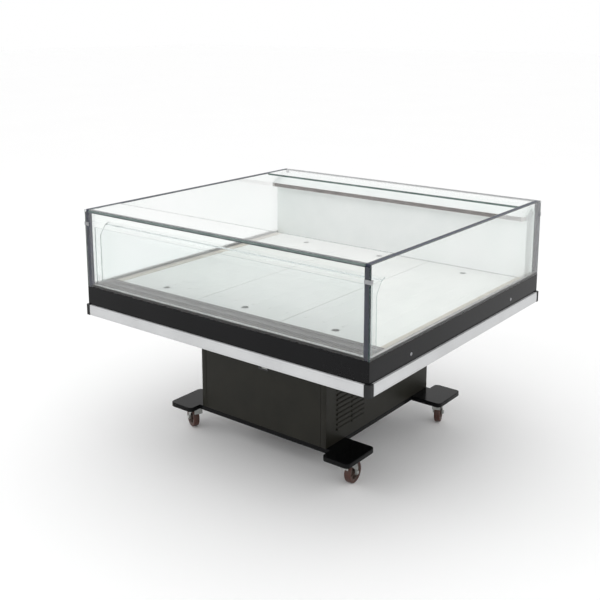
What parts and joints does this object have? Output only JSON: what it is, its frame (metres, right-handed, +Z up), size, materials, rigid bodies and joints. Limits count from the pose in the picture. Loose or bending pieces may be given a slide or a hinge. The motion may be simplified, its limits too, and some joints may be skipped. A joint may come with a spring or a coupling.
{
  "type": "open refrigerated display island",
  "caption": "Open-top chilled display island with glass walls, an air curtain duct, a machine housing below and a castor base.",
  "frame": {"origin": "on the floor, under the middle of the cabinet", "axes": "+X along the long side of the display, +Y from the front return grille towards the back air duct, +Z up"},
  "size_m": [1.266, 1.192, 0.886],
  "materials": {
    "black_enamel": "gloss powder coat",
    "housing_paint": "satin powder coat, dark olive black",
    "zinc": "bright zinc plate",
    "steel_fixings": "plated steel",
    "castor_hub": "moulded nylon",
    "castor_tread": "moulded polyurethane, brown",
    "brake_lever": "painted steel",
    "frame_steel": "primed steel",
    "display_plastic": "moulded with a clear window",
    "black_plastic": "moulded",
    "compressor_paint": "black enamel",
    "coil_aluminium": "mill finish fins",
    "copper": "drawn copper tube",
    "grey_plastic": "moulded",
    "galvanised": "galvanised sheet",
    "tub_paint": "satin powder coat",
    "foam": "rigid foam",
    "liner_steel": "stainless liner",
    "rail_cream": "painted rail",
    "bumper_grey": "satin anodised",
    "cap_grey": "moulded",
    "clear_glass": "polished",
    "seal_dark": "edge seal with metal spacer foot",
    "white_paint": "white powder coat",
    "honeycomb_grey": "open cell plastic",
    "clear_acrylic": "bent acrylic",
    "grille_grey": "slotted sheet",
    "deck_white": "white powder coat"
  },
  "bodies": {
    "cabinet": {"base_tray": "black_enamel", "castor_plates": "zinc", "fasteners": "steel_fixings", "housing_frame": "frame_steel", "housing_front": "housing_paint", "housing_back": "housing_paint", "housing_left": "housing_paint", "housing_right": "housing_paint", "controller": "display_plastic", "cable_gland": "black_plastic", "compressor": "compressor_paint", "condenser": "coil_aluminium", "condenser_shroud": "black_plastic", "receiver": "compressor_paint", "refrigerant_pipes": "copper", "electrical_box": "grey_plastic", "tub_casing": "tub_paint", "tub_insulation": "foam", "tub_liner": "liner_steel", "rim_rails": "rail_cream", "skirt_panels": "black_enamel", "bumper_rails": "bumper_grey", "bumper_caps": "cap_grey", "glass_ends": "clear_glass", "glass_sides": "clear_glass", "glass_seals": "seal_dark", "glass_top_strips": "clear_glass", "glass_clips": "steel_fixings", "duct_panel": "white_paint", "duct_hood": "white_paint", "duct_back_panel": "white_paint", "air_honeycomb": "honeycomb_grey", "front_baffle": "clear_acrylic", "return_grille": "grille_grey", "deck_supports": "galvanised", "evaporator": "coil_aluminium", "fan_plate": "galvanised"},
    "castor_fl": {"castor_fork_fl": "zinc"},
    "wheel_fl": {"castor_hub_fl": "castor_hub", "castor_tread_fl": "castor_tread"},
    "brake_fl": {"castor_brake_fl": "brake_lever"},
    "castor_fr": {"castor_fork_fr": "zinc"},
    "wheel_fr": {"castor_hub_fr": "castor_hub", "castor_tread_fr": "castor_tread"},
    "brake_fr": {"castor_brake_fr": "brake_lever"},
    "castor_bl": {"castor_fork_bl": "zinc"},
    "wheel_bl": {"castor_hub_bl": "castor_hub", "castor_tread_bl": "castor_tread"},
    "brake_bl": {"castor_brake_bl": "brake_lever"},
    "castor_br": {"castor_fork_br": "zinc"},
    "wheel_br": {"castor_hub_br": "castor_hub", "castor_tread_br": "castor_tread"},
    "brake_br": {"castor_brake_br": "brake_lever"},
    "condenser_fan": {"condenser_fan": "black_plastic"},
    "evap_fan_left": {"evap_fan_left": "black_plastic"},
    "evap_fan_right": {"evap_fan_right": "black_plastic"},
    "condensate_tray": {"condensate_tray": "galvanised"},
    "deck_tray_left": {"deck_tray_left": "deck_white"},
    "deck_tray_centre": {"deck_tray_centre": "deck_white"},
    "deck_tray_right": {"deck_tray_right": "deck_white"}
  },
  "joints": [
    {"name": "castor_fl_swivel", "type": "hinge", "parent": "cabinet", "child": "castor_fl", "pos_m": [-0.3605, -0.306, 0.098], "axis": [0, 0, 1], "continuous": true},
    {"name": "wheel_fl_roll", "type": "hinge", "parent": "castor_fl", "child": "wheel_fl", "pos_m": [-0.38769, -0.29332, 0.04], "axis": [-0.4226, -0.9063, 0], "continuous": true},
    {"name": "brake_fl_press", "type": "hinge", "parent": "castor_fl", "child": "brake_fl", "pos_m": [-0.375, -0.29924, 0.086], "axis": [-0.4226, -0.9063, 0], "range_deg": [0, 12]},
    {"name": "castor_fr_swivel", "type": "hinge", "parent": "cabinet", "child": "castor_fr", "pos_m": [0.3605, -0.306, 0.098], "axis": [0, 0, 1], "continuous": true},
    {"name": "wheel_fr_roll", "type": "hinge", "parent": "castor_fr", "child": "wheel_fr", "pos_m": [0.35841, -0.27607, 0.04], "axis": [-0.9976, -0.0698, 0], "continuous": true},
    {"name": "brake_fr_press", "type": "hinge", "parent": "castor_fr", "child": "brake_fr", "pos_m": [0.35938, -0.29004, 0.086], "axis": [-0.9976, -0.0698, 0], "range_deg": [0, 12]},
    {"name": "castor_bl_swivel", "type": "hinge", "parent": "cabinet", "child": "castor_bl", "pos_m": [-0.3605, 0.306, 0.098], "axis": [0, 0, 1], "continuous": true},
    {"name": "wheel_bl_roll", "type": "hinge", "parent": "castor_bl", "child": "wheel_bl", "pos_m": [-0.3455, 0.33198, 0.04], "axis": [-0.866, 0.5, 0], "continuous": true},
    {"name": "brake_bl_press", "type": "hinge", "parent": "castor_bl", "child": "brake_bl", "pos_m": [-0.3525, 0.31986, 0.086], "axis": [-0.866, 0.5, 0], "range_deg": [0, 12]},
    {"name": "castor_br_swivel", "type": "hinge", "parent": "cabinet", "child": "castor_br", "pos_m": [0.3605, 0.306, 0.098], "axis": [0, 0, 1], "continuous": true},
    {"name": "wheel_br_roll", "type": "hinge", "parent": "castor_br", "child": "wheel_br", "pos_m": [0.35024, 0.33419, 0.04], "axis": [-0.9397, -0.342, 0], "continuous": true},
    {"name": "brake_br_press", "type": "hinge", "parent": "castor_br", "child": "brake_br", "pos_m": [0.35503, 0.32104, 0.086], "axis": [-0.9397, -0.342, 0], "range_deg": [0, 12]},
    {"name": "condenser_fan_spin", "type": "hinge", "parent": "cabinet", "child": "condenser_fan", "pos_m": [0.186, -0.201, 0.245], "axis": [1, 0, 0], "continuous": true},
    {"name": "evap_fan_left_spin", "type": "hinge", "parent": "cabinet", "child": "evap_fan_left", "pos_m": [-0.19, -0.12, 0.5175], "axis": [0, -1, 0], "continuous": true},
    {"name": "evap_fan_right_spin", "type": "hinge", "parent": "cabinet", "child": "evap_fan_right", "pos_m": [0.19, -0.12, 0.5175], "axis": [0, -1, 0], "continuous": true},
    {"name": "condensate_tray_slide", "type": "slide", "parent": "cabinet", "child": "condensate_tray", "axis": [0, 1, 0], "range_m": [0, 0.24]},
    {"name": "deck_tray_left_lift", "type": "slide", "parent": "cabinet", "child": "deck_tray_left", "axis": [0, 0, 1], "range_m": [0, 0.2]},
    {"name": "deck_tray_centre_lift", "type": "slide", "parent": "cabinet", "child": "deck_tray_centre", "axis": [0, 0, 1], "range_m": [0, 0.2]},
    {"name": "deck_tray_right_lift", "type": "slide", "parent": "cabinet", "child": "deck_tray_right", "axis": [0, 0, 1], "range_m": [0, 0.2]}
  ]
}
